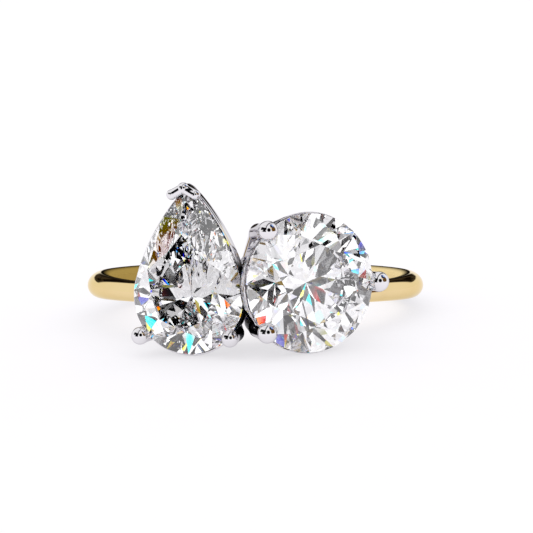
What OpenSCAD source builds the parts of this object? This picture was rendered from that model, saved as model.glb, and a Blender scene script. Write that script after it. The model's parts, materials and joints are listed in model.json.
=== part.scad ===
// Toi et moi ring: a round brilliant and a pear brilliant side by side on one band.
// The ring lies on its side, as it rests on a table: two points of the setting and the
// back of the band touch the table. The origin is the centre of the finger hole,
// the stones face -Y, +X is to the right and +Z is up. Millimetres and degrees.

/* [Band] */
// Inside diameter of the band, which is the finger size
finger_d = 16.9; // [14:0.1:22]
// Thickness of the band from the finger to its outer crest
band_t = 1.6; // [1.3:0.05:2.4]
// Width of the band along the finger, at the back and the sides
band_w = 1.6; // [1.4:0.05:2.4]
// Width of the band at the front, under the setting
front_w = 1.15; // [1:0.05:1.4]
// Width of the flat land inside the band
land_w = 0.9; // [0.7:0.05:0.95]
// Radial depth of the rounded outer side of the band
dome_t = 0.8; // [0.6:0.05:0.9]
// Angle from the back of the band at which it starts to narrow
taper_from = 75; // [50:1:100]
// Angle from the back of the band at which it has its front width
taper_to = 145; // [120:1:165]

/* [Round stone] */
// Diameter of the round stone
round_d = 7.45; // [6.5:0.05:7.6]
// Turn of the round stone away from straight ahead, about the finger
round_turn = 25; // [15:1:32]
// Place of the round stone to the right of the band's middle
round_x = 3; // [2.9:0.05:3.6]
// Place of the round stone along the finger
round_z = 0.94; // [0:0.02:1.4]

/* [Pear stone] */
// Width of the pear stone
pear_w = 6.2; // [5.2:0.05:6.3]
// Length of the pear stone from its round end to its tip
pear_l = 9; // [7.6:0.05:10]
// How far the pear stone's round end goes on above its widest line, as an angle
pear_belly_angle = 15; // [5:1:18]
// Turn of the pear stone away from straight ahead, about the finger
pear_turn = 18; // [12:1:28]
// Place of the pear stone to the left of the band's middle
pear_x = 3.54; // [3.4:0.05:4.2]
// Place along the finger of the pear stone's widest line
pear_z = 0.18; // [-0.6:0.02:0.8]

/* [Cut of both stones] */
// Width of the table as a share of the stone's width
table_share = 0.57; // [0.5:0.01:0.64]
// Angle of the main facets above the girdle
crown_angle = 34.5; // [30:0.5:38]
// Angle of the main facets below the girdle
pavilion_angle = 40.8; // [39:0.1:43]
// Height of the girdle at the tips of the main facets
girdle_t = 0.24; // [0.18:0.01:0.34]
// Reach of the upper side facets' tips from the apex of the main facets to the girdle
upper_tip = 0.705; // [0.66:0.005:0.76]
// Reach of the lower side facets' tips from the culet to the girdle
lower_tip = 0.23; // [0.18:0.01:0.3]
// Height of the culets above the crest of the band
culet_gap = 0.25; // [0.1:0.05:1]

/* [Setting] */
// Gap between a stone and the metal that seats it
stone_gap = 0.05; // [0.01:0.01:0.06]
// Gap between the band and the feet of the setting
seat_gap = 0.02; // [0.01:0.01:0.06]
// How far the round stone's seat rail stands out past its girdle
round_rail_out = 0.08; // [0.06:0.01:0.2]
// How far the pear stone's seat rail stands out past its girdle
pear_rail_out = 0.13; // [0.06:0.01:0.2]
// Height of the seat rails' walls
rail_h = 1; // [0.7:0.05:1.2]
// Thickness of the seat rails' walls at their feet
rail_t = 0.5; // [0.4:0.05:0.7]
// Lean of the seat rails' walls towards their stones' axes
rail_lean = 7; // [0:1:14]
// Radius of the seat rails' outer edges
rail_edge = 0.09; // [0.05:0.01:0.14]
// Diameter of the bead at the end of each of the round stone's prongs
round_bead_d = 1.1; // [0.9:0.02:1.2]
// Diameter of the bead at the end of each of the pear stone's side prongs
pear_bead_d = 0.96; // [0.8:0.02:1.1]
// Diameter of a prong's shank as a share of its bead's
prong_share = 0.96; // [0.85:0.01:0.98]
// How far a prong's knee lies inside its bead
knee_in = 0.25; // [0.1:0.01:0.4]
// How far a prong's knee lies below its bead
knee_drop = 1.5; // [1.2:0.05:1.7]
// Place of the round stone's outer bead outside its girdle's edge
round_outer_out = 0.16; // [0.02:0.01:0.25]
// Place of the round stone's upper inner bead outside its girdle's edge
round_upper_out = 0.22; // [0.02:0.01:0.25]
// Place of the round stone's lower inner bead outside its girdle's edge
round_lower_out = 0.04; // [0.02:0.01:0.25]
// Height of the round stone's beads above the middle of its girdle
round_bead_up = 0.52; // [0.35:0.01:0.6]
// Place of the pear stone's beads outside its girdle's edge
pear_bead_out = 0.24; // [0.05:0.01:0.3]
// Height of the pear stone's beads above the middle of its girdle
pear_bead_up = 0.6; // [0.35:0.01:0.64]
// Angle of the round stone's upper inner prong from its outer one
round_upper_angle = 134; // [120:0.5:140]
// Angle of the round stone's lower inner prong from its outer one
round_lower_angle = 137.5; // [120:0.5:140]
// Angle of the pear stone's two side prongs below its widest line
pear_prong_angle = 40; // [30:0.5:50]
// Thickness of the V prong at the pear's tip
v_t = 0.52; // [0.44:0.02:0.6]
// Height of the V prong above the middle of the girdle
v_up = 1; // [0.8:0.02:1.04]
// Length of each arm of the V prong
v_arm = 0.75; // [0.6:0.05:1]
// Angle of each arm of the V prong from the pear's long axis
v_half_angle = 63; // [50:1:66]
// Place of the V prong's corner inside the pear's tip
v_in = 0.08; // [0.04:0.01:0.14]
// How far the wall below the V prong reaches in over the stone
v_wall_in = 0.15; // [0.1:0.01:0.2]
// Slope of the setting's back below the pear's tip
tip_slope = 30; // [20:1:34]
// How far the setting stands out past the pear's tip at the girdle
tip_out = 0.15; // [0.12:0.01:0.2]
// Diameter of the foot loops' wire
foot_d = 0.8; // [0.6:0.05:0.9]
// How far the round stone's foot loop lies inside its girdle
round_foot_in = 1.3; // [1.1:0.05:1.5]
// How far the pear stone's foot loop lies inside its girdle
pear_foot_in = 1.3; // [1.1:0.05:1.4]
// Share of a stone's place along the finger that its foot loop follows
foot_follow = 0.5; // [0:0.05:1]

/* [Hidden] */

// Curves
stations = 72;
curve_fn = 64;
girdle_steps = 24;
edge_steps = 3;
eps = 0.01;

// How far a side arc runs past the tip before its mitre is cut, as an angle
mitre_over = 6;
// A side arc starts inside the belly arc by this angle, and its section is slimmer by
// this much all round, so that the two join as one solid
joint_turn = 0.2;
joint_slim = 0.004;

// Band
finger_r = finger_d / 2;
band_r = finger_r + band_t;
dome_r = band_r - dome_t;
// A length past every part of the ring, for what cuts it
past_all = 4 * band_r;
// The section runs a little inside the finger hole, which is then bored true
bore_over = 0.12;
dome_steps = 9;
corner_steps = 4;

// Stones: a round stone is a pear whose tip is as far from its centre as its side
round_r = round_d / 2;
pear_r = pear_w / 2;
pear_tip = pear_l - pear_r;
round_shape = [round_r, round_r, 0];
pear_shape = [pear_r, pear_tip, pear_belly_angle];
// Directions of the main facets, counted round the stone
round_mains = [for (i = [0:7]) i * 45];
pear_mains = [-90, -42, 5, 35, 90, 145, 175, 222];

girdle_h = girdle_t / 2;
// The ridges between two side facets are the steepest lines of the crown and the pavilion
ridge_turn = 24;
ridge_spread = 1 / cos(ridge_turn);
crown_ridge = (1 - upper_tip) * tan(crown_angle) / (1 - upper_tip * ridge_spread);
pavilion_ridge = (1 - lower_tip) * tan(pavilion_angle) / (1 - lower_tip * ridge_spread);

// Places of the stones' girdle centres in the ring's own frame
culet_r = band_r + culet_gap;
round_at = stone_place(round_r, round_x, round_z, round_turn);
pear_at = stone_place(pear_r, -pear_x, pear_z, -pear_turn);

// Prongs, each as its place on the girdle's outline and its bead's place outside it
round_prongs = [
    [0, round_outer_out],
    [round_upper_angle, round_upper_out],
    [-round_lower_angle, round_lower_out]
];
pear_prongs = [
    [-pear_prong_angle, pear_bead_out],
    [pear_prong_angle - 180, pear_bead_out]
];
round_bead_r = round_bead_d / 2;
pear_bead_r = pear_bead_d / 2;
// A ball at the end of a rod is wider than the rod by this, so that the two are one solid
ball_over = 0.02;
// The stem below the pear's tip lies inside the slope of the rail's back by this
stem_back = 0.04;
// The ball at the V prong's corner is wider than its arms by this
corner_over = 0.06;
foot_r = foot_d / 2;
v_r = v_t / 2;

// Foot loops lie against the crest of the band below each culet
foot_rise = 0.05;
foot_at_r = band_r + foot_rise;
round_foot_turn = asin((round_at.x - culet_depth(round_r) * sin(round_turn)) / culet_r);
pear_foot_turn = asin((pear_at.x + culet_depth(pear_r) * sin(pear_turn)) / culet_r);
round_foot_at = foot_place(round_foot_turn, round_z);
pear_foot_at = foot_place(pear_foot_turn, pear_z);

// Rest: the table's upward direction in the ring's own frame, found by letting the
// three touching places follow it this many times
rest_times = 6;
table_up = rest_up([0, 0, 1], rest_times);
rest_x = atan2(table_up.y, table_up.z);
rest_y = -atan2(table_up.x, norm([table_up.y, table_up.z]));

// Vectors and planes

function unit(v) = v / norm(v);
function lift(p, h) = [p.x, p.y, h];
function side_of(turn) = [cos(turn), sin(turn), 0];
function front_of(turn) = [sin(turn), -cos(turn), 0];

// A place given in a stone's own axes: right, along the finger, outward
function in_ring(at, turn, p) =
    at + p.x * side_of(turn) + p.y * [0, 0, 1] + p.z * front_of(turn);

// A plane as its outward direction and its distance from the stone's centre
function plane_of(a, b, c) =
    let (n = unit(cross(b - a, c - a)), d = n * a) d > 0 ? [n, d] : [-n, -d];

// Outline of a stone's girdle: a belly arc below and two side arcs that meet at the tip.
// A shape is the belly's radius, the tip's distance from the belly's centre and the
// angle at which the side arcs take over.

function side_off(s) = (s[1] * s[1] - s[0] * s[0]) / (2 * (s[0] - s[1] * sin(s[2])));
function side_r(s) = s[0] + side_off(s);
function side_at(s) = -side_off(s) * [cos(s[2]), sin(s[2])];
function tip_angle(s, inset = 0) = acos(-side_at(s).x / (side_r(s) - inset));
function tip_reach(s, inset) =
    side_at(s).y + (side_r(s) - inset) * sin(tip_angle(s, inset));

// The outline's point whose outward direction is a, for a from -90 to 90
function right_point(s, a) =
    a <= s[2] ? s[0] * [cos(a), sin(a)]
    : let (b = min(a, tip_angle(s))) side_at(s) + side_r(s) * [cos(b), sin(b)];

function outline_point(s, a) =
    a <= 90 ? right_point(s, a)
    : let (p = right_point(s, 180 - a)) [-p.x, p.y];

function outline(s) =
    let (
        belly = (90 + s[2]) / girdle_steps,
        side = (tip_angle(s) - s[2]) / girdle_steps,
        right = [
            for (i = [1:girdle_steps]) right_point(s, belly * i - 90),
            for (i = [1:girdle_steps - 1]) right_point(s, s[2] + side * i)
        ]
    ) concat(
        [[0, -s[0]]], right, [[0, s[1]]],
        [for (i = [len(right) - 1:-1:0]) [-right[i].x, right[i].y]]
    );

// Where the tangents at two outline directions cross
function tangent_cross(s, a, b) =
    let (
        ha = right_distance(s, a),
        hb = right_distance(s, b)
    ) [ha * sin(b) - hb * sin(a), hb * cos(a) - ha * cos(b)] / sin(b - a);

function right_distance(s, a) = outline_point(s, a) * [cos(a), sin(a)];

// The direction half way between two main facets, kept off the tip itself
function between(s, a, b) =
    let (tip = tip_angle(s))
    (b == 90 ? min(b, tip) + a : a == 90 ? max(a, 180 - tip) + b : a + b) / 2;

// Heights of a stone's parts from the middle of its girdle

function apex_h(r) = girdle_h + r * tan(crown_angle);
function table_h(r) = girdle_h + (1 - table_share) * r * tan(crown_angle);
function culet_depth(r) = girdle_h + r * tan(pavilion_angle);

// All facet planes of a stone with the main facets in the given directions
function facets(s, mains) =
    let (
        apex = [0, 0, apex_h(s[0])],
        culet = [0, 0, -culet_depth(s[0])],
        last = len(mains) - 1
    ) concat(
        [[[0, 0, 1], table_h(s[0])]],
        [for (i = [0:last])
            let (
                a = mains[i],
                b = i == last ? mains[0] + 360 : mains[i + 1],
                p = outline_point(s, wrap(a)),
                q = outline_point(s, wrap(b)),
                m = outline_point(s, wrap(between(s, a, b))),
                corner = tangent_cross(s, wrap(a), wrap(b)),
                along = [-sin(a), cos(a), 0],
                top_p = lift(p, girdle_h),
                top_q = lift(q, girdle_h),
                top_m = lift(m, girdle_h),
                low_p = lift(p, -girdle_h),
                low_q = lift(q, -girdle_h),
                low_m = lift(m, -girdle_h),
                upper = apex + upper_tip * (lift(corner, girdle_h) - apex),
                lower = culet + lower_tip * (lift(corner, -girdle_h) - culet)
            )
            each [
                plane_of(apex, top_p, top_p + along),
                plane_of(apex + table_share * (top_p - apex),
                    apex + table_share * (top_q - apex), upper),
                plane_of(upper, top_p, top_m),
                plane_of(upper, top_m, top_q),
                plane_of(culet, low_p, low_p + along),
                plane_of(lower, low_p, low_m),
                plane_of(lower, low_m, low_q)
            ]
        ]
    );

// A direction brought into the outline's range, from -90 to 270
function wrap(a) = a >= 270 ? a - 360 : a;

// Places

function stone_place(r, x, z, turn) =
    let (
        depth = culet_depth(r),
        culet_x = x - depth * sin(turn),
        culet_y = sqrt(culet_r * culet_r - culet_x * culet_x)
    ) [x, -culet_y - depth * cos(turn), z];

function foot_place(turn, z) = foot_at_r * front_of(turn) + [0, 0, foot_follow * z];

// Width of the band at an angle from its back
function taper(a) =
    let (t = max(0, min(1, (a - taper_from) / (taper_to - taper_from)))) t * t * (3 - 2 * t);
function width_at(a) = band_w + (front_w - band_w) * taper(a);

// Lowest places of the rails and the band for a table whose upward direction is up

function rail_low(at, turn, rail_r, up) =
    let (
        lip_r = rail_r - rail_edge,
        lip = in_ring(at, turn, [0, 0, -girdle_h - rail_edge]),
        d = -up,
        across = [d * side_of(turn), d.z]
    ) lip + lip_r / norm(across) * (across.x * side_of(turn) + [0, 0, across.y]) + rail_edge * d;

function band_low(up) =
    let (
        flat = [-up.x, -up.y, 0],
        reach = norm(flat) > 0 ? norm(flat) : 0,
        back = reach > 0 ? flat / reach : [0, 1, 0],
        half = band_w / 2,
        edge = norm([dome_t * reach, half * up.z])
    ) (dome_r + dome_t * dome_t * reach / edge) * back - [0, 0, half * half * up.z / edge];

function rest_up(up, times) =
    times == 0 ? up
    : let (
        pear_low = rail_low(pear_at, -pear_turn, pear_r + pear_rail_out, up),
        round_low = rail_low(round_at, round_turn, round_r + round_rail_out, up)
    ) rest_up(unit(cross(round_low - pear_low, band_low(up) - pear_low)), times - 1);

// From the ring's own frame to the way it rests
module at_rest() rotate([rest_x, rest_y, 0]) children();

module at_place(at, turn) translate(at) rotate([90, 0, turn]) children();

// Band

// Half of the band's section for one width, from the outer crest to the land
function half_section(w) =
    let (
        half = w / 2,
        deep = band_t - dome_t + bore_over,
        reach = sqrt(1 - pow((band_t - dome_t) / deep, 2)),
        floor_h = (land_w / 2 - reach * half) / (1 - reach)
    ) [
        for (i = [0:dome_steps]) let (a = 90 * i / dome_steps)
            [dome_r + dome_t * cos(a), half * sin(a)],
        for (i = [1:corner_steps]) let (a = 90 * i / corner_steps)
            [dome_r - deep * sin(a), floor_h + (half - floor_h) * cos(a)]
    ];

function section(w) =
    let (half = half_section(w), n = len(half)) concat(
        half,
        [for (i = [n - 1:-1:1]) [half[i].x, -half[i].y]]
    );

// A closed loop of sections, each at its own angle from the back of the band
module section_loop() {
    rings = [
        for (i = [0:stations - 1])
            let (a = 360 * i / stations, from_back = a > 180 ? 360 - a : a)
            [for (p = section(width_at(from_back))) [-p.x * sin(a), p.x * cos(a), p.y]]
    ];
    n = len(rings[0]);
    polyhedron(
        points = [for (r = rings) each r],
        faces = [
            for (i = [0:stations - 1], j = [0:n - 1])
                let (k = (i + 1) % stations, m = (j + 1) % n)
                each [
                    [i * n + j, k * n + j, k * n + m],
                    [i * n + j, k * n + m, i * n + m]
                ]
        ]
    );
}

module band() {
    color("gold")
    at_rest()
    difference() {
        section_loop();
        cylinder(h = 2 * band_w, r = finger_r, center = true, $fn = curve_fn);
    }
}

// Stones

// Everything below a facet's plane
module below(plane) {
    n = plane[0];
    rotate([0, acos(n.z), atan2(n.y, n.x)])
    translate([-past_all, -past_all, plane[1] - 2 * past_all])
    cube(2 * past_all);
}

module cut_stone(s, mains) {
    hull()
    intersection() {
        linear_extrude(height = past_all, center = true)
        polygon(outline(s));
        intersection_for (plane = facets(s, mains))
            below(plane);
    }
}

module round_stone() {
    color("white")
    at_rest()
    at_place(round_at, round_turn)
    cut_stone(round_shape, round_mains);
}

module pear_stone() {
    color("lightcyan")
    at_rest()
    at_place(pear_at, -pear_turn)
    cut_stone(pear_shape, pear_mains);
}

// Setting

module rod(p, q, r) {
    d = q - p;
    translate(p)
    rotate([0, acos(d.z / norm(d)), atan2(d.y, d.x)])
    cylinder(h = norm(d), r = r, $fn = curve_fn);
}

// A profile carried round an outline, set in by inset. The profile's x is outward.
// The second child is the same profile, slimmer, for a pear's side arcs.
module sweep(s, inset = 0) {
    if (s[0] == s[1])
        rotate_extrude($fn = curve_fn)
        translate([s[0] - inset, 0])
        children(0);
    else {
        rotate([0, 0, 180 - s[2]])
        rotate_extrude(angle = 180 + 2 * s[2], $fn = curve_fn)
        translate([s[0] - inset, 0])
        children(0);
        for (side = [0, 1])
            mirror([side, 0, 0])
            side_sweep(s, inset, s[2] - joint_turn)
            children(1);
    }
}

// One side arc of a pear outline, from the given angle to a mitre at the tip
module side_sweep(s, inset, from) {
    intersection() {
        translate(concat(side_at(s), [0]))
        rotate([0, 0, from])
        rotate_extrude(angle = tip_angle(s, inset) + mitre_over - from, $fn = 2 * curve_fn)
        translate([side_r(s) - inset, 0])
        children();
        translate([0, 0, -past_all])
        cube([past_all, past_all, 2 * past_all]);
    }
}

// Section of the seat rail: a leaning wall whose top follows the stone's pavilion
module rail_section(out, slim = 0) {
    top = -girdle_h - slim;
    foot = -girdle_h - rail_h + slim;
    outer = out - slim;
    seat_drop = stone_gap / cos(atan(pavilion_ridge));
    lean = rail_h * tan(rail_lean);
    inner = out - lean - rail_t + slim;
    polygon([
        [outer - rail_edge, top],
        for (i = [edge_steps - 1:-1:0]) let (a = 90 * i / edge_steps)
            [outer - rail_edge + rail_edge * cos(a), top - rail_edge + rail_edge * sin(a)],
        [outer - lean, foot + rail_edge],
        [outer - lean - rail_edge, foot],
        [inner, foot],
        [inner, top - seat_drop + (inner - stone_gap) * pavilion_ridge],
        [outer - rail_edge - eps, top - seat_drop - rail_edge * pavilion_ridge]
    ]);
}

module foot_section(slim = 0) circle(r = foot_r - slim, $fn = curve_fn);

// Section of the wall between the rail and the V prong
module v_wall_section() {
    low = -girdle_h - rail_edge;
    translate([-v_wall_in, low])
    square([v_wall_in + pear_rail_out - eps, v_up - v_r - low]);
}

// Room for a round outline with its crown and pavilion
module stone_room(r) {
    edge = r + stone_gap;
    deep = girdle_h + stone_gap + edge * pavilion_ridge;
    high = girdle_h + stone_gap + edge * crown_ridge;
    rotate_extrude($fn = curve_fn)
    polygon([
        [0, -deep],
        [edge, -girdle_h - stone_gap],
        [edge, girdle_h + stone_gap],
        [0, high]
    ]);
}

// A prong, given as its place on the girdle's outline and its bead's place outside it: its
// shank goes from the bead back to a knee and from there to the foot loop
module prong(at, turn, r, place, bead_r, bead_up, foot_at, foot_turn, foot_in) {
    shank_r = prong_share * bead_r;
    out = [cos(place[0]), sin(place[0]), 0];
    seat = (r + place[1]) * out + [0, 0, bead_up];
    bead = in_ring(at, turn, seat);
    knee = in_ring(at, turn, seat - knee_in * out - [0, 0, knee_drop]);
    translate(bead)
    sphere(r = bead_r, $fn = curve_fn);
    rod(bead, knee, shank_r);
    translate(knee)
    sphere(r = shank_r + ball_over, $fn = curve_fn);
    rod(knee, in_ring(foot_at, foot_turn, (r - foot_in) * out), shank_r);
}

// Room for the pear's tip: what lies inside both side arcs' tangents there
module tip_room() {
    tip = tip_angle(pear_shape);
    edge = right_distance(pear_shape, tip) + stone_gap;
    deep = girdle_h + stone_gap + edge * pavilion_ridge;
    high = girdle_h + stone_gap + edge * crown_ridge;
    intersection_for (a = [tip, 180 - tip])
        rotate([0, 0, a])
        rotate([90, 0, 0])
        linear_extrude(height = past_all, center = true)
        polygon([
            [0, -deep],
            [edge, -girdle_h - stone_gap],
            [edge, girdle_h + stone_gap],
            [0, high]
        ]);
}

// Cuts the rail's corner below the pear's tip to the slope of the stem there
module tip_back() {
    size = 2 * rail_h;
    translate([0, pear_tip + tip_out, -girdle_h])
    rotate([tip_slope, 0, 0])
    translate([-size / 2, 0, -size])
    cube(size);
}

// The V prong over the pear's tip: two arms, and a wall along each side arc below them
module v_prong() {
    corner = [0, pear_tip - v_in, v_up - v_r];
    wall_from = tip_angle(pear_shape) - v_arm / side_r(pear_shape) * 180 / PI;
    difference() {
        union() {
            translate(corner)
            sphere(r = v_r + corner_over, $fn = curve_fn);
            for (side = [0, 1])
                mirror([side, 0, 0]) {
                    arm_end = corner + v_arm * [sin(v_half_angle), -cos(v_half_angle), 0];
                    side_sweep(pear_shape, 0, wall_from)
                    v_wall_section();
                    rod(corner, arm_end, v_r);
                    translate(arm_end)
                    sphere(r = v_r + ball_over, $fn = curve_fn);
                }
        }
        tip_room();
        tip_back();
    }
}

// The stem below the pear's tip, whose back lies just inside the slope
module tip_stem() {
    stem_r = prong_share * pear_bead_r;
    stem_in = stem_r / cos(tip_slope) + stem_back;
    half_h = rail_h / 2;
    top_h = -girdle_h - half_h;
    top_y = pear_tip + tip_out - stem_in - half_h * tan(tip_slope);
    foot_y = tip_reach(pear_shape, pear_foot_in);
    difference() {
        rod(in_ring(pear_at, -pear_turn, [0, top_y, top_h]),
            in_ring(pear_foot_at, pear_foot_turn, [0, foot_y, 0]), stem_r);
        at_place(pear_at, -pear_turn)
        tip_room();
    }
}

module round_head() {
    difference() {
        union() {
            at_place(round_at, round_turn)
            sweep(round_shape)
            rail_section(round_rail_out);
            for (place = round_prongs)
                prong(round_at, round_turn, round_r, place, round_bead_r, round_bead_up,
                    round_foot_at, round_foot_turn, round_foot_in);
        }
        at_place(round_at, round_turn)
        stone_room(round_r);
        at_place(pear_at, -pear_turn)
        stone_room(pear_r);
    }
    at_place(round_foot_at, round_foot_turn)
    sweep(round_shape, round_foot_in)
    foot_section();
}

module pear_head() {
    difference() {
        union() {
            at_place(pear_at, -pear_turn)
            difference() {
                sweep(pear_shape) {
                    rail_section(pear_rail_out);
                    rail_section(pear_rail_out, joint_slim);
                }
                tip_back();
            }
            for (place = pear_prongs)
                prong(pear_at, -pear_turn, pear_r, place, pear_bead_r, pear_bead_up,
                    pear_foot_at, pear_foot_turn, pear_foot_in);
            tip_stem();
        }
        at_place(pear_at, -pear_turn)
        stone_room(pear_r);
    }
    at_place(pear_at, -pear_turn)
    v_prong();
    at_place(pear_foot_at, pear_foot_turn)
    sweep(pear_shape, pear_foot_in) {
        foot_section();
        foot_section(joint_slim);
    }
}

// Clears the band, so that the feet stand on its crest
module band_room() {
    rotate_extrude($fn = 2 * curve_fn)
    translate([finger_r, -front_w / 2 - seat_gap])
    square([band_t + seat_gap, front_w + 2 * seat_gap]);
}

module setting() {
    color("silver")
    at_rest()
    difference() {
        union() {
            round_head();
            pear_head();
        }
        band_room();
    }
}

band();
setting();
pear_stone();
round_stone();
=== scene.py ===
"""Looks of a toi et moi ring: a pear and a round brilliant on one yellow gold band."""

import json
import logging
import math
from dataclasses import dataclass, field
from enum import Enum

import bmesh
import bpy
from mathutils import Matrix, Vector

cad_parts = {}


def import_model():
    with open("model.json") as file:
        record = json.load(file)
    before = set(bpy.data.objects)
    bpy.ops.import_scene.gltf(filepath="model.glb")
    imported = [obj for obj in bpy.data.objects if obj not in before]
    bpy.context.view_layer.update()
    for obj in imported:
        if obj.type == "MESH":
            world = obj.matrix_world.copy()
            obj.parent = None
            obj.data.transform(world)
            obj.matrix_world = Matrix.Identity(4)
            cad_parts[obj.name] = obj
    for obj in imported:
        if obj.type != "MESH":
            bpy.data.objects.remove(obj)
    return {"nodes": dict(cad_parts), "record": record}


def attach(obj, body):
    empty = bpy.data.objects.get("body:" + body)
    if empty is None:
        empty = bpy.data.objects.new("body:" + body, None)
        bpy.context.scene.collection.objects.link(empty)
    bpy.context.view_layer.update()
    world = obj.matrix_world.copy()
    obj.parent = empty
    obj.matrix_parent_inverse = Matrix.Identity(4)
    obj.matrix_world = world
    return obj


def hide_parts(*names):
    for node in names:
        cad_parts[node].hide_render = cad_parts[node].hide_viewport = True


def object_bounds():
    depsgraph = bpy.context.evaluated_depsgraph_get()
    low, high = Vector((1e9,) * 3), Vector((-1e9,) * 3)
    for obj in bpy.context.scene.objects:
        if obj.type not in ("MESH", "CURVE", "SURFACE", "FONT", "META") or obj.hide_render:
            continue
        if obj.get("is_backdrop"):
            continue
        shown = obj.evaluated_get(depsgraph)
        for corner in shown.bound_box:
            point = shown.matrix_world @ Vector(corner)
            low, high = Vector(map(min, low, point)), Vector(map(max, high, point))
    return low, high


LOG = logging.getLogger("ring")
MM = 0.001

Colour = tuple[float, float, float]
Place = tuple[float, float, float]
# Degrees to the right of the camera and degrees above the floor
Aim = tuple[float, float]
# Two values between which something fades in
Span = tuple[float, float]

WHITE: Colour = (1.0, 1.0, 1.0)
BLACK: Colour = (0.004, 0.004, 0.005)
# Where most of a noise field's values lie
MOST: Span = (0.3, 0.7)


class Slot(Enum):
    """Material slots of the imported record."""

    YELLOW_GOLD = "yellow_gold"
    WHITE_GOLD = "white_gold"
    DIAMOND = "diamond"


@dataclass(frozen=True)
class Rest:
    """How the ring rests: the finger hole's axis and the height of the floor under it."""

    axis: Vector
    floor_z: float

    def matrix(self) -> Matrix:
        """Works out how the ring is turned at rest.

        Returns:
            The turn from the ring's own axes to the way it rests.
        """
        turn_x = Matrix.Rotation(math.asin(-self.axis.y), 4, "X")
        turn_y = Matrix.Rotation(math.atan2(self.axis.x, self.axis.z), 4, "Y")
        return turn_y @ turn_x


class Sock:
    """A value in a node graph: a node's output, or a constant, that sums are made with."""

    def __init__(self, graph: "Graph", value: object) -> None:
        """Wraps a value.

        Args:
            graph: The graph whose nodes are made for the sums.
            value: A node's output socket, or a number.
        """
        self.graph = graph
        self.value = value

    def __add__(self, other: object) -> "Sock":
        """Returns the sum of the two."""
        return self.graph.math("ADD", self, other)

    def __radd__(self, other: object) -> "Sock":
        """Returns the sum of the two."""
        return self.graph.math("ADD", other, self)

    def __sub__(self, other: object) -> "Sock":
        """Returns this value less the other."""
        return self.graph.math("SUBTRACT", self, other)

    def __rsub__(self, other: object) -> "Sock":
        """Returns the other value less this one."""
        return self.graph.math("SUBTRACT", other, self)

    def __mul__(self, other: object) -> "Sock":
        """Returns the product of the two."""
        return self.graph.math("MULTIPLY", self, other)

    def __rmul__(self, other: object) -> "Sock":
        """Returns the product of the two."""
        return self.graph.math("MULTIPLY", other, self)

    def __neg__(self) -> "Sock":
        """Returns this value with its sign turned round."""
        return self.graph.math("MULTIPLY", self, -1.0)

    def __abs__(self) -> "Sock":
        """Returns this value without its sign."""
        return self.graph.math("ABSOLUTE", self)

    def most(self, other: object) -> "Sock":
        """Returns the larger of the two."""
        return self.graph.math("MAXIMUM", self, other)

    def ramp(self, low: float, high: float, to_low: float = 0.0, to_high: float = 1.0) -> "Sock":
        """Carries this value smoothly from one range to another.

        Args:
            low: Value that becomes to_low.
            high: Value that becomes to_high.
            to_low: Result at low.
            to_high: Result at high.

        Returns:
            The smoothed, clamped value.
        """
        made = self.graph.node(
            "ShaderNodeMapRange",
            {"interpolation_type": "SMOOTHSTEP", "clamp": True},
            {"Value": self, 1: low, 2: high, 3: to_low, 4: to_high},
        )
        return self.graph.out(made, "Result")

    def fade(self, span: Span, unit: float = 1.0) -> "Sock":
        """Returns 0 turning into 1 as this value goes through a span."""
        return self.ramp(span[0] * unit, span[1] * unit)


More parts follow.
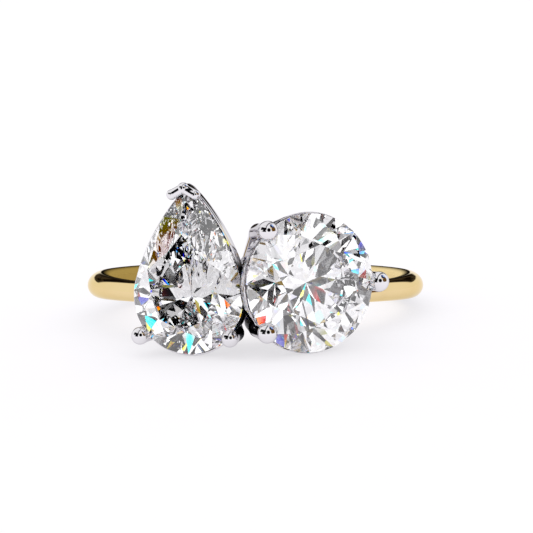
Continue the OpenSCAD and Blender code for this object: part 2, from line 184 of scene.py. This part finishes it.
class Graph:
    """The node tree of a material or a world."""

    def __init__(self, owner: bpy.types.Material | bpy.types.World) -> None:
        """Empties the owner's node tree.

        Args:
            owner: The material or world.
        """
        owner.use_nodes = True
        self.tree = owner.node_tree
        self.tree.nodes.clear()
        world = isinstance(owner, bpy.types.World)
        self.output = "ShaderNodeOutputWorld" if world else "ShaderNodeOutputMaterial"

    def node(self, kind: str, settings: dict | None = None, inputs: dict | None = None) -> bpy.types.Node:
        """Makes a node.

        Args:
            kind: The node's type.
            settings: Properties to set on the node.
            inputs: Values or sockets for its inputs, by name or index.

        Returns:
            The node.
        """
        made = self.tree.nodes.new(kind)
        for name, value in (settings or {}).items():
            setattr(made, name, value)
        for name, value in (inputs or {}).items():
            self.feed(made.inputs[name], value)
        return made

    def feed(self, socket: bpy.types.NodeSocket, value: object) -> None:
        """Links a value into a socket, or sets it there when it is a constant.

        Args:
            socket: The socket to feed.
            value: A wrapped socket, a number or a colour.
        """
        inner = value.value if isinstance(value, Sock) else value
        if isinstance(inner, bpy.types.NodeSocket):
            self.tree.links.new(inner, socket)
        elif isinstance(inner, tuple) and socket.type == "RGBA":
            socket.default_value = (*inner, 1.0)
        else:
            socket.default_value = inner

    def out(self, node: bpy.types.Node, name: object = 0) -> Sock:
        """Returns one of a node's outputs."""
        return Sock(self, node.outputs[name])

    def math(self, operation: str, *values: object) -> Sock:
        """Returns the result of a Math node."""
        made = self.node("ShaderNodeMath", {"operation": operation}, dict(enumerate(values)))
        return self.out(made)

    def vector(self, operation: str, *values: object, out: object = 0) -> Sock:
        """Returns the result of a Vector Math node."""
        made = self.node("ShaderNodeVectorMath", {"operation": operation}, dict(enumerate(values)))
        return self.out(made, out)

    def mix(self, factor: object, a: object, b: object) -> Sock:
        """Returns colour a turning into colour b as the factor goes from 0 to 1."""
        made = self.node("ShaderNodeMix", {"data_type": "RGBA"}, {0: factor, 6: a, 7: b})
        return self.out(made, 2)

    def noise(self, where: object, scale: float, detail: float = 2.0, rough: float = 0.5) -> Sock:
        """Makes a noise field.

        Args:
            where: The place it is read at.
            scale: How many lumps lie along a length of one.
            detail: How many finer fields are laid over it.
            rough: How strong the finer fields are.

        Returns:
            The field's value.
        """
        inputs = {"Vector": where, "Scale": scale, "Detail": detail, "Roughness": rough}
        return self.out(self.node("ShaderNodeTexNoise", None, inputs))

    def place(self) -> Sock:
        """Returns the place on the object, in metres."""
        return self.out(self.node("ShaderNodeTexCoord"), "Object")

    def principled(self, inputs: dict) -> Sock:
        """Returns a Principled shader with the given inputs."""
        return self.out(self.node("ShaderNodeBsdfPrincipled", None, inputs))

    def blend(self, factor: object, first: Sock, second: Sock) -> Sock:
        """Returns the first shader turning into the second as the factor goes from 0 to 1."""
        return self.out(self.node("ShaderNodeMixShader", None, {0: factor, 1: first, 2: second}))

    def surface(self, shader: Sock) -> None:
        """Sends a shader to the output."""
        self.node(self.output, None, {"Surface": shader})


@dataclass(frozen=True)
class PaintedInsideShade:
    """Painted shade inside the band: black rims, deep gold middle and a painted paler patch to the right,
    with places in mm.
    """

    # Painted shade: black at the band's inner rims, where dark would be mirrored.
    rim_painted_shade: Colour = (0.004, 0.003, 0.002)
    # Painted shade: the deep gold of the shaded inside, on the left.
    left_painted_shade: Colour = (0.42, 0.285, 0.075)
    # Painted light: a paler gold patch to the right, where light would be mirrored.
    right: Colour = (0.88, 0.7, 0.36)
    right_painted_light_x: Span = (5.0, 7.0)
    shade_begins_r: Span = (9.3, 9.22)
    shade_lifts_r: Span = (9.15, 8.65)

    def over(self, graph: Graph, place: Sock, axis: Vector, metal: Sock) -> Sock:
        """Lays the painted shade and light inside the band over the metal.

        Args:
            graph: The material's graph.
            place: The place on the band.
            axis: The finger hole's axis.
            metal: The shader outside.

        Returns:
            The mixed shader.
        """
        off = graph.vector("LENGTH", graph.vector("CROSS_PRODUCT", place, tuple(axis)), out="Value")
        aside = graph.vector("DOT_PRODUCT", place, (1.0, 0.0, 0.0), out="Value")
        # Painted light: the middle turns paler gold towards the right.
        middle = graph.mix(aside.fade(self.right_painted_light_x, MM), self.left_painted_shade, self.right)
        # Painted shade: black at the rims, fading into the middle's gold.
        colour = graph.mix(off.fade(self.shade_lifts_r, MM), self.rim_painted_shade, middle)
        # A dull shader that carries the painted shade and light.
        dim = graph.principled({"Base Color": colour, "Roughness": 1.0, "Specular IOR Level": 0.0})
        return graph.blend(off.fade(self.shade_begins_r, MM), metal, dim)


@dataclass(frozen=True)
class PaintedGapShade:
    """Painted shade between the two heads, a dark metal where their walls would mirror each other, with
    places in mm.
    """

    # Painted shade: dark metal where the heads' walls would mirror dark.
    dark: Colour = (0.01, 0.01, 0.012)
    edge: Colour = (0.3, 0.3, 0.32)
    rough: float = 0.25
    at: Place = (-0.45, -12.9, 0.0)
    stretch: Place = (1.0, 0.6, 0.0)
    reach: Span = (0.75, 0.5)
    top_z: Span = (3.9, 3.0)

    def over(self, graph: Graph, place: Sock, axis: Vector, metal: Sock) -> Sock:
        """Lays the painted shade over the metal.

        Args:
            graph: The material's graph.
            place: The place on the setting.
            axis: The finger hole's axis, which the gap doesn't follow.
            metal: The shader elsewhere.

        Returns:
            The mixed shader.
        """
        from_gap = graph.vector("SUBTRACT", place, tuple(part * MM for part in self.at))
        off = graph.vector("LENGTH", graph.vector("MULTIPLY", from_gap, self.stretch), out="Value")
        up = graph.vector("DOT_PRODUCT", place, (0.0, 0.0, 1.0), out="Value")
        # Painted shade: strongest near the gap's middle, fading out below its top.
        painted_shade_mask = off.fade(self.reach, MM) * up.fade(self.top_z, MM)
        # A dark metal shader that carries the painted shade.
        dim = graph.principled(
            {"Base Color": self.dark, "Specular Tint": self.edge, "Metallic": 1.0, "Roughness": self.rough}
        )
        return graph.blend(painted_shade_mask, metal, dim)


@dataclass(frozen=True)
class Metal:
    """A polished metal with faint clouds, fine polishing lines and painted shade laid over it."""

    name: str
    colour: Colour
    worn: Colour
    edge: Colour
    # Painted shade and light mixed over the metal.
    shade: PaintedInsideShade | PaintedGapShade
    rough: float = 0.015
    rough_more: float = 0.03
    clouds: float = 420.0
    cloud_edge: Span = (0.35, 0.75)
    lines: float = 2600.0
    lines_along: Place = (1.0, 1.0, 0.12)
    lines_deep: float = 0.02
    bump: float = 0.015

    def material(self, axis: Vector) -> bpy.types.Material:
        """Makes the metal.

        Args:
            axis: The finger hole's axis.

        Returns:
            The material.
        """
        made = bpy.data.materials.new(self.name)
        graph = Graph(made)
        place = graph.place()
        cloud = graph.noise(place, self.clouds, detail=3.0)
        lines = graph.noise(graph.vector("MULTIPLY", place, self.lines_along), self.lines, rough=0.6)
        bump = graph.node(
            "ShaderNodeBump",
            None,
            {"Strength": self.bump, "Distance": self.lines_deep * MM, "Height": lines},
        )
        metal = graph.principled(
            {
                "Base Color": graph.mix(cloud.fade(MOST), self.colour, self.worn),
                "Specular Tint": self.edge,
                "Metallic": 1.0,
                "Roughness": cloud.ramp(*self.cloud_edge, self.rough, self.rough + self.rough_more),
                "Normal": graph.out(bump),
            }
        )
        # Lays the painted shade over the metal.
        graph.surface(self.shade.over(graph, place, axis, metal))
        return made


@dataclass(frozen=True)
class Gem:
    """A clear cut stone with faint clouds."""

    name: str
    clear: Colour = WHITE
    cloudy: Colour = (0.985, 0.985, 0.99)
    clouds: float = 900.0
    bend: float = 2.418

    def material(self) -> bpy.types.Material:
        """Makes the stone's material.

        Returns:
            The material.
        """
        made = bpy.data.materials.new(self.name)
        graph = Graph(made)
        cloud = graph.noise(graph.place(), self.clouds)
        stone = {
            "Base Color": graph.mix(cloud.fade(MOST), self.clear, self.cloudy),
            "Roughness": 0.0,
            "IOR": self.bend,
            "Transmission Weight": 1.0,
        }
        graph.surface(graph.principled(stone))
        return made


@dataclass(frozen=True)
class Paper:
    """The pale floor, which gives a little light of its own as a light table does."""

    name: str = "pale_floor"
    colour: Colour = (0.97, 0.955, 0.985)
    fibre: float = 300.0
    fibre_shade: float = 0.995
    own_light: float = 0.68
    strength: float = 1.08

    def material(self) -> bpy.types.Material:
        """Makes the floor's material.

        Returns:
            The material.
        """
        made = bpy.data.materials.new(self.name)
        graph = Graph(made)
        fibre = graph.noise(graph.place(), self.fibre)
        shaded = tuple(self.fibre_shade * part for part in self.colour)
        colour = graph.mix(fibre.fade(MOST), self.colour, shaded)
        share = 1.0 - self.own_light
        paper = {
            "Base Color": graph.vector("MULTIPLY", colour, (share, share, share)),
            "Roughness": 1.0,
            "Specular IOR Level": 0.0,
            "Emission Color": colour,
            "Emission Strength": self.own_light * self.strength,
        }
        graph.surface(graph.principled(paper))
        return made


YELLOW_GOLD = Metal(
    "yellow_gold",
    colour=(0.83, 0.655, 0.355),
    worn=(0.80, 0.62, 0.325),
    edge=(0.94, 0.87, 0.68),
    # Painted shade and light inside the band.
    shade=PaintedInsideShade(),
)
WHITE_GOLD = Metal(
    "white_gold",
    colour=(0.84, 0.825, 0.85),
    worn=(0.81, 0.795, 0.82),
    edge=(0.72, 0.71, 0.73),
    # Painted shade between the two heads.
    shade=PaintedGapShade(),
    rough=0.006,
    rough_more=0.012,
)
DIAMOND = Gem("diamond")
FLOOR = Paper()


def link(mesh: bmesh.types.BMesh, name: str) -> bpy.types.Object:
    """Turns a working mesh into an object of the scene.

    Args:
        mesh: The working mesh, which is freed.
        name: Name of the object.

    Returns:
        The object.
    """
    data = bpy.data.meshes.new(name)
    mesh.to_mesh(data)
    mesh.free()
    made = bpy.data.objects.new(name, data)
    bpy.context.scene.collection.objects.link(made)
    return made


def merged(node: bpy.types.Object, near: float) -> bmesh.types.BMesh:
    """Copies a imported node's loose triangles into one whole mesh.

    Args:
        node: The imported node, which stays as it is.
        near: How near two corners lie that are one, in metres.

    Returns:
        The working mesh.
    """
    mesh = bmesh.new()
    mesh.from_mesh(node.data)
    bmesh.ops.remove_doubles(mesh, verts=mesh.verts, dist=near)
    bmesh.ops.dissolve_degenerate(mesh, edges=mesh.edges, dist=near)
    return mesh


def crisp(mesh: bmesh.types.BMesh, degrees: float) -> None:
    """Shades a mesh smooth but for the edges that turn more than an angle.

    Args:
        mesh: The working mesh.
        degrees: The angle in degrees.
    """
    limit = math.radians(degrees)
    for face in mesh.faces:
        face.smooth = True
    for edge in mesh.edges:
        edge.smooth = len(edge.link_faces) == 2 and edge.calc_face_angle(0.0) < limit


@dataclass
class Band:
    """The yellow gold band, spun from its section and narrowed towards the front, in mm."""

    rest: Rest
    finger_r: float = 8.45
    thick: float = 1.6
    dome: float = 0.8
    width: float = 1.6
    front: float = 1.15
    land: float = 0.9
    over: float = 0.12
    taper_from: float = 75.0
    taper_to: float = 145.0
    steps: int = 288
    arc_steps: int = 14
    crisp_at: float = 20.0
    near: float = 1e-6
    parts: list[bpy.types.Object] = field(default_factory=list)

    @property
    def dome_r(self) -> float:
        """Returns the radius at which the outer dome meets the inner corners."""
        return self.finger_r + self.thick - self.dome

    def half_at(self, x: float, y: float) -> float:
        """Works out half of the band's width at a place round it.

        Args:
            x: The place to the right of the finger hole's axis.
            y: The place behind the finger hole's axis.

        Returns:
            Half of the width there.
        """
        from_back = math.degrees(math.acos(max(-1.0, min(1.0, y / math.hypot(x, y)))))
        share = max(0.0, min(1.0, (from_back - self.taper_from) / (self.taper_to - self.taper_from)))
        share = share * share * (3.0 - 2.0 * share)
        return (self.width + (self.front - self.width) * share) / 2.0

    def spring_h(self, half: float) -> float:
        """Works out the height from which the inner corner's curve springs.

        Args:
            half: Half of the width there.

        Returns:
            The height above the section's middle.
        """
        deep = self.thick - self.dome + self.over
        reach = math.sqrt(1.0 - ((self.thick - self.dome) / deep) ** 2)
        return (self.land / 2.0 - reach * half) / (1.0 - reach)

    def half_section(self) -> list[tuple[float, float]]:
        """Draws half of the section at the back.

        Returns:
            Its points from the crest to the middle of the land, as radius and height.
        """
        half = self.width / 2.0
        deep = self.thick - self.dome + self.over
        low = self.spring_h(half)
        end = math.asin((self.thick - self.dome) / deep)
        outer = [math.pi / 2.0 * i / self.arc_steps for i in range(self.arc_steps + 1)]
        inner = [end * i / self.arc_steps for i in range(1, self.arc_steps + 1)]
        return (
            [(self.dome_r + self.dome * math.cos(a), half * math.sin(a)) for a in outer]
            + [(self.dome_r - deep * math.sin(a), low + (half - low) * math.cos(a)) for a in inner]
            + [(self.finger_r, 0.0)]
        )

    def spin(self) -> bmesh.types.BMesh:
        """Spins the section at the back once round.

        Returns:
            The working mesh, equally wide all round.
        """
        mesh = bmesh.new()
        half = self.half_section()
        loop = half + [(r, -z) for r, z in half[-2:0:-1]]
        points = [mesh.verts.new((0.0, r, z)) for r, z in loop]
        edges = [mesh.edges.new(pair) for pair in zip(points, points[1:] + points[:1])]
        bmesh.ops.spin(
            mesh,
            geom=points + edges,
            axis=(0.0, 0.0, 1.0),
            cent=(0.0, 0.0, 0.0),
            angle=math.tau,
            steps=self.steps,
            use_merge=True,
        )
        bmesh.ops.recalc_face_normals(mesh, faces=mesh.faces)
        return mesh

    def narrow(self, mesh: bmesh.types.BMesh) -> None:
        """Narrows the band towards the front, and leaves its land as wide as it is.

        Args:
            mesh: The working mesh.
        """
        back = self.width / 2.0
        back_low = self.spring_h(back)
        for point in mesh.verts:
            x, y, z = point.co
            now = self.half_at(x, y)
            if math.hypot(x, y) >= self.dome_r - self.near:
                point.co.z = z * now / back
            elif abs(z) > self.near:
                low = self.spring_h(now)
                high = low + (abs(z) - back_low) * (now - low) / (back - back_low)
                point.co.z = math.copysign(high, z)

    def build(self) -> None:
        """Makes the band's mesh."""
        mesh = self.spin()
        self.narrow(mesh)
        crisp(mesh, self.crisp_at)
        bmesh.ops.transform(mesh, matrix=self.rest.matrix() @ Matrix.Scale(MM, 4), verts=mesh.verts)
        made = link(mesh, "smooth_band")
        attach(made, "root")
        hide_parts("band")
        self.parts.append(made)

    def dress(self, metal: bpy.types.Material) -> None:
        """Gives the band its metal.

        Args:
            metal: The yellow gold.
        """
        for part in self.parts:
            part.data.materials.append(metal)


@dataclass
class Setting:
    """The white metal setting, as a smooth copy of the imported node."""

    node: bpy.types.Object
    near: float = 1e-7
    crisp_at: float = 24.0
    parts: list[bpy.types.Object] = field(default_factory=list)

    def build(self) -> None:
        """Makes the smooth copy."""
        mesh = merged(self.node, self.near)
        crisp(mesh, self.crisp_at)
        made = link(mesh, "smooth_setting")
        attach(made, "root")
        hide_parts("setting")
        self.parts.append(made)

    def dress(self, metal: bpy.types.Material) -> None:
        """Gives the setting its metal.

        Args:
            metal: The white gold.
        """
        for part in self.parts:
            part.data.materials.append(metal)


@dataclass
class Stones:
    """The two cut stones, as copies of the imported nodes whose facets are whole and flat."""

    nodes: dict[str, bpy.types.Object]
    names: tuple[str, ...] = ("pear_stone", "round_stone")
    near: float = 2e-7
    flat_within: float = 0.15
    parts: list[bpy.types.Object] = field(default_factory=list)

    def build(self) -> None:
        """Makes the copies."""
        for name in self.names:
            mesh = merged(self.nodes[name], self.near)
            limit = math.radians(self.flat_within)
            bmesh.ops.dissolve_limit(mesh, angle_limit=limit, verts=mesh.verts, edges=mesh.edges)
            bmesh.ops.recalc_face_normals(mesh, faces=mesh.faces)
            for face in mesh.faces:
                face.smooth = False
            LOG.info("%s: %d facets", name, len(mesh.faces))
            made = link(mesh, f"cut_{name}")
            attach(made, "root")
            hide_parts(name)
            self.parts.append(made)

    def dress(self, gem: bpy.types.Material) -> None:
        """Gives the stones their material.

        Args:
            gem: The diamond.
        """
        for part in self.parts:
            part.data.materials.append(gem)


def towards(aim: Aim) -> Vector:
    """Turns an aim into a direction.

    Args:
        aim: Degrees to the right of the camera and degrees above the floor.

    Returns:
        The direction.
    """
    across, above = (math.radians(angle) for angle in aim)
    return Vector(
        (math.cos(above) * math.sin(across), -math.cos(above) * math.cos(across), math.sin(above))
    )


class Look:
    """A direction looked in, its parts, and a faint wander for the edges of things."""

    def __init__(self, graph: Graph, way: Sock) -> None:
        """Splits a direction.

        Args:
            graph: The world's graph.
            way: The direction.
        """
        self.graph = graph
        self.way = way
        axes = graph.node("ShaderNodeSeparateXYZ", None, {0: way})
        self.right, back, self.up = (graph.out(axes, name) for name in "XYZ")
        self.front = -back
        self.wander = graph.noise(way, 7.0, detail=3.0, rough=0.6) - 0.5

    def lumps(self, scale: float) -> Sock:
        """Returns a noise field over the directions."""
        return self.graph.noise(self.way, scale, detail=1.5)

    def along(self, vector: Vector) -> Sock:
        """Returns how far the direction points along a vector."""
        return self.graph.vector("DOT_PRODUCT", self.way, tuple(vector), out="Value")


@dataclass(frozen=True)
class Spot:
    """A round thing in the studio, with its radius in degrees and how far its edge wanders."""

    middle: Aim
    radius: float
    rough: float = 0.0
    colour: Colour = BLACK
    soft: float = 0.006

    def mask(self, look: Look) -> Sock:
        """Finds the thing among the directions.

        Args:
            look: The direction looked in.

        Returns:
            1 on the thing and 0 off it.
        """
        edge = math.cos(math.radians(self.radius))
        along = look.along(towards(self.middle)) + look.wander * self.rough
        return along.ramp(edge - self.soft, edge + self.soft)


@dataclass(frozen=True)
class Strip:
    """A straight thing in the studio, with half its width in degrees and how far its edge wanders."""

    start: Aim
    end: Aim
    half: float
    rough: float = 0.0
    soft: float = 0.012
    soft_end: float = 0.02

    def mask(self, look: Look) -> Sock:
        """Finds the thing among the directions.

        Args:
            look: The direction looked in.

        Returns:
            1 on the thing and 0 off it.
        """
        first, last = towards(self.start), towards(self.end)
        side = first.cross(last).normalized()
        middle = (first + last).normalized()
        reach = first.dot(middle)
        width = math.sin(math.radians(self.half))
        off = abs(look.along(side) + look.wander * self.rough)
        within = look.along(middle).ramp(reach - self.soft_end, reach + self.soft_end)
        return off.ramp(width + self.soft, width - self.soft) * within


@dataclass(frozen=True)
class Arch:
    """A dark arch low behind the ring, with faint brown streaks."""

    low_slope: float = 0.42
    low_rough: float = 0.06
    low_edge: Span = (-0.02, 0.02)
    high_slope: float = 0.6
    high_rough: float = 0.2
    high_edge: Span = (0.42, 0.34)
    behind: Span = (-0.78, -0.84)
    streaks: float = 9.0
    streak_edge: Span = (0.48, 0.62)
    dark: Colour = (0.006, 0.004, 0.003)
    brown: Colour = (0.05, 0.04, 0.03)

    def mask(self, look: Look) -> Sock:
        """Finds the arch among the directions.

        Args:
            look: The direction looked in.

        Returns:
            1 on the arch and 0 off it.
        """
        aside = abs(look.right)
        over = look.up - aside * self.low_slope + look.wander * self.low_rough
        under = look.up - aside * self.high_slope + look.wander * self.high_rough
        between = over.fade(self.low_edge) * under.fade(self.high_edge)
        return between * look.front.fade(self.behind)

    def colour(self, look: Look) -> Sock:
        """Returns the arch's dark with its streaks."""
        streak = look.lumps(self.streaks).fade(self.streak_edge)
        return look.graph.mix(streak, self.dark, self.brown)


@dataclass(frozen=True)
class MetalLight:
    """What the polished metal mirrors: white walls, thin black frames and a few colours."""

    sunk: float = 0.27
    grey: Colour = (0.82, 0.81, 0.83)
    grey_lumps: float = 3.0
    grey_edge: Span = (0.45, 0.6)
    grey_up: Span = (0.5, 0.8)
    arch: Arch = Arch()
    bar: Strip = Strip((-94.0, 9.0), (-16.0, 17.0), 14.0, 0.22)
    blob: Spot = Spot((-42.0, -9.0), 21.0, 0.16)
    lamp: Spot = Spot((13.0, 6.0), 21.0)
    arc: Strip = Strip((-27.0, 24.0), (150.0, 20.0), 6.0, 0.03)
    skirting: Strip = Strip((-80.0, -14.5), (80.0, -14.5), 5.0)
    panels: tuple[Spot, ...] = (
        Spot((73.0, 3.0), 28.0, 0.1, (0.15, 0.072, 0.012)),
        Spot((48.0, 27.0), 12.0, 0.0, (0.8, 0.66, 0.38)),
        Spot((82.0, 40.0), 23.0, 0.04, (0.02, 0.04, 0.21)),
        Spot((95.0, 36.0), 12.0, 0.0, (0.42, 0.62, 1.0)),
        Spot((64.0, 38.0), 15.0, 0.03, (0.003, 0.004, 0.02)),
    )

    def light(self, graph: Graph, way: Sock) -> Sock:
        """Paints the studio that the metal sees.

        Args:
            graph: The world's graph.
            way: The direction looked in.

        Returns:
            The light as a colour.
        """
        lower = graph.vector("NORMALIZE", graph.vector("SUBTRACT", way, (0.0, 0.0, self.sunk)))
        back, look = Look(graph, way), Look(graph, lower)
        dull = look.lumps(self.grey_lumps).fade(self.grey_edge) * look.up.fade(self.grey_up)
        light = graph.mix(dull, WHITE, self.grey)
        for panel in self.panels:
            light = graph.mix(panel.mask(look), light, panel.colour)
        light = graph.mix(self.arch.mask(back), light, self.arch.colour(look))
        dark = self.bar.mask(look)
        for thing in (self.blob, self.lamp, self.arc, self.skirting):
            dark = dark.most(thing.mask(look))
        return graph.mix(dark, light, BLACK)


@dataclass(frozen=True)
class GemLight:
    """What the stones gather: bright and dim patches, whose dark places have coloured edges."""

    scatter: Place = (-0.8, 18.3, -7.3)
    bright: Colour = (1.5, 1.5, 1.52)
    dim: Colour = (0.6, 0.6, 0.62)
    dark: Colour = (0.01, 0.01, 0.012)
    patches: float = 6.5
    patch_edge: Span = (0.467, 0.487)
    fires: float = 3.3
    fire_edge: Span = (0.45, 0.6)
    fire: float = 0.04
    fire_less: float = 0.016
    levels: float = 4.0
    level_edge: Span = (0.42, 0.48)
    low_up: Span = (0.16, 0.1)
    low_front: Span = (0.3, 0.5)

    def light(self, graph: Graph, way: Sock) -> Sock:
        """Paints the studio that the stones see.

        Args:
            graph: The world's graph.
            way: The direction looked in.

        Returns:
            The light as a colour.
        """
        look = Look(graph, way)
        where = graph.vector("ADD", way, self.scatter)
        patch = graph.noise(where, self.patches, detail=1.5)
        fire = graph.noise(where, self.fires, detail=1.5).fade(self.fire_edge)
        split = fire * self.fire - self.fire_less
        parts = [(patch + split * share).fade(self.patch_edge) for share in (-1.0, 0.0, 1.0)]
        open_to = graph.node("ShaderNodeCombineColor", None, dict(enumerate(parts)))
        level = graph.noise(where, self.levels, detail=1.0)
        light = graph.mix(level.fade(self.level_edge), self.dim, self.bright)
        light = graph.vector("MULTIPLY", light, graph.out(open_to))
        low = abs(look.up).fade(self.low_up) * look.front.fade(self.low_front)
        return graph.mix(low, light, self.dark)


@dataclass
class Studio:
    """The floor, the light all round and the camera, whose place is in mm from the finger hole."""

    rest: Rest
    metal: MetalLight = MetalLight()
    gems: GemLight = GemLight()
    floor_half: float = 4.0
    camera_at: Place = (0.661, -119.73, 8.057)
    camera_down: float = 3.348
    view_angle: float = 15.2
    sensor: float = 36.0
    clip: Span = (0.001, 20.0)
    stone_bounces: int = 24
    metal_bounces: int = 12
    floor_bounces: int = 4
    clear_bounces: int = 12

    def floor(self) -> None:
        """Lays the floor."""
        mesh = bmesh.new()
        bmesh.ops.create_grid(mesh, x_segments=1, y_segments=1, size=self.floor_half)
        made = link(mesh, "floor")
        made.location.z = self.rest.floor_z
        made.data.materials.append(FLOOR.material())
        made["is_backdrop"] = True

    def light(self) -> None:
        """Sets the light all round: white, with a few dark and coloured things to mirror."""
        world = bpy.data.worlds.new("Studio")
        bpy.context.scene.world = world
        graph = Graph(world)
        way = graph.out(graph.node("ShaderNodeTexCoord"), "Generated")
        path = graph.node("ShaderNodeLightPath")
        light = graph.mix(graph.out(path, "Is Glossy Ray"), WHITE, self.metal.light(graph, way))
        light = graph.mix(graph.out(path, "Is Singular Ray"), light, self.gems.light(graph, way))
        light = graph.mix(graph.out(path, "Is Camera Ray"), light, WHITE)
        shown = graph.node("ShaderNodeBackground", None, {"Color": light, "Strength": 1.0})
        graph.surface(graph.out(shown))

    def camera(self) -> None:
        """Sets the camera at the photo's angle to the ring."""
        data = bpy.data.cameras.new("camera")
        data.sensor_width = self.sensor
        data.angle = math.radians(self.view_angle)
        data.clip_start, data.clip_end = self.clip
        made = bpy.data.objects.new("camera", data)
        tilt = math.radians(90.0 - self.camera_down)
        own = Matrix.Translation(Vector(self.camera_at) * MM) @ Matrix.Rotation(tilt, 4, "X")
        made.matrix_world = self.rest.matrix() @ own
        bpy.context.scene.collection.objects.link(made)
        bpy.context.scene.camera = made

    def develop(self) -> None:
        """Sets how light is traced and shown."""
        scene = bpy.context.scene
        scene.view_settings.view_transform = "Standard"
        scene.cycles.max_bounces = self.stone_bounces
        scene.cycles.transmission_bounces = self.stone_bounces
        scene.cycles.glossy_bounces = self.metal_bounces
        scene.cycles.diffuse_bounces = self.floor_bounces
        scene.cycles.transparent_max_bounces = self.clear_bounces
        scene.cycles.caustics_reflective = False
        scene.cycles.caustics_refractive = False
        scene.cycles.use_denoising = True


def main() -> None:
    """Builds the ring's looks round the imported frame."""
    logging.basicConfig(level=logging.INFO, format="%(name)s: %(message)s")
    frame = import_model()
    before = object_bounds()
    hole = frame["record"]["mounts"][0]
    rest = Rest(Vector(hole["axis"]), before[0].z)

    band = Band(rest)
    band.build()
    band.dress(YELLOW_GOLD.material(rest.axis))
    LOG.info("band: %s", [part.name for part in band.parts])

    setting = Setting(frame["nodes"]["setting"])
    setting.build()
    setting.dress(WHITE_GOLD.material(rest.axis))
    LOG.info("setting: %s", [part.name for part in setting.parts])

    stones = Stones(frame["nodes"])
    stones.build()
    stones.dress(DIAMOND.material())
    LOG.info("stones: %s", [part.name for part in stones.parts])

    studio = Studio(rest)
    studio.floor()
    studio.light()
    studio.camera()
    studio.develop()


if __name__ == "__main__":
    main()
